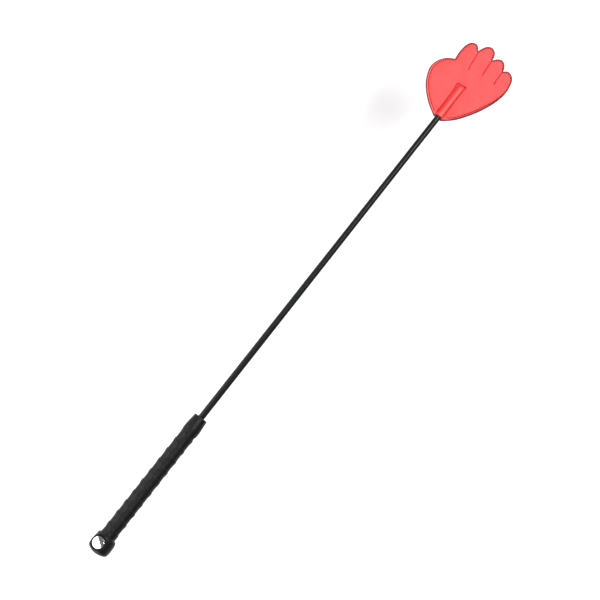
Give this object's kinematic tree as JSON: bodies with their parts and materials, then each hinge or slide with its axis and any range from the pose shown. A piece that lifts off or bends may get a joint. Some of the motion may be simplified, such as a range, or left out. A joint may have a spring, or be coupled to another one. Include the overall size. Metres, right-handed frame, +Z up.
{
  "type": "riding crop",
  "caption": "Riding crop with a studded leather pommel, a spirally wound leather grip, a thin braided flexible shaft and a stitched red leather popper shaped like a hand.",
  "frame": {"origin": "on the surface that the crop lies on, under the middle of its bounding box", "axes": "+X along the crop from the pommel to the fingertips of the popper, +Y towards the thumb of the hand, +Z up from the surface"},
  "size_m": [0.65, 0.0762, 0.0237],
  "materials": {
    "black_leather": "satin, fine grain",
    "red_leather": "semi-matt, fine grain",
    "red_thread": "waxed twisted thread",
    "black_braid": "tight waxed braid",
    "fibreglass": "satin",
    "foam_rubber": "matt",
    "beech": "turned, unvarnished",
    "chrome": "polished",
    "steel": "drawn"
  },
  "bodies": {
    "handle": {"pommel_leather": "black_leather", "pommel_core": "beech", "stud_cap": "chrome", "stud_post": "steel", "grip_core": "foam_rubber", "grip_wrap": "black_leather", "grip_collar": "black_leather", "rod_root": "fibreglass", "braid_root": "black_braid"},
    "shaft_lower": {"rod_lower": "fibreglass", "braid_lower": "black_braid"},
    "shaft_middle": {"rod_middle": "fibreglass", "braid_middle": "black_braid"},
    "shaft_tip": {"rod_tip": "fibreglass", "braid_tip": "black_braid", "tip_whipping": "black_braid", "palm_front": "red_leather", "palm_back": "red_leather", "thumb_edge_thread_front": "red_thread", "little_edge_thread_front": "red_thread", "pocket_thread_front": "red_thread", "thumb_edge_thread_back": "red_thread", "little_edge_thread_back": "red_thread", "pocket_thread_back": "red_thread"},
    "popper_flap": {"fingers_front": "red_leather", "fingers_back": "red_leather", "finger_edge_thread_front": "red_thread", "index_finger_thread_front": "red_thread", "middle_finger_thread_front": "red_thread", "ring_finger_thread_front": "red_thread", "finger_edge_thread_back": "red_thread", "index_finger_thread_back": "red_thread", "middle_finger_thread_back": "red_thread", "ring_finger_thread_back": "red_thread"}
  },
  "joints": [
    {"name": "shaft_flex", "type": "hinge", "parent": "handle", "child": "shaft_lower", "pos_m": [-0.10098, 0.00047, 0.00927], "axis": [0, 1, 0], "range_deg": [-10, 10], "stiffness_Nm_per_rad": 5.5},
    {"name": "shaft_flex_middle", "type": "hinge", "parent": "shaft_lower", "child": "shaft_middle", "pos_m": [0.00901, 0.00047, 0.00798], "axis": [0, 1, 0], "range_deg": [-12, 12], "stiffness_Nm_per_rad": 3.9},
    {"name": "shaft_flex_tip", "type": "hinge", "parent": "shaft_middle", "child": "shaft_tip", "pos_m": [0.129, 0.00047, 0.00656], "axis": [0, 1, 0], "range_deg": [-12, 12], "stiffness_Nm_per_rad": 2.1},
    {"name": "popper_flex", "type": "hinge", "parent": "shaft_tip", "child": "popper_flap", "pos_m": [0.27996, 0.00047, 0.00188], "axis": [0, 1, 0], "range_deg": [-50, 50], "stiffness_Nm_per_rad": 0.08}
  ],
  "couplings": [
    {"joint": "shaft_flex_middle", "follows": "shaft_flex", "ratio": 1.2},
    {"joint": "shaft_flex_tip", "follows": "shaft_flex", "ratio": 1.2}
  ]
}
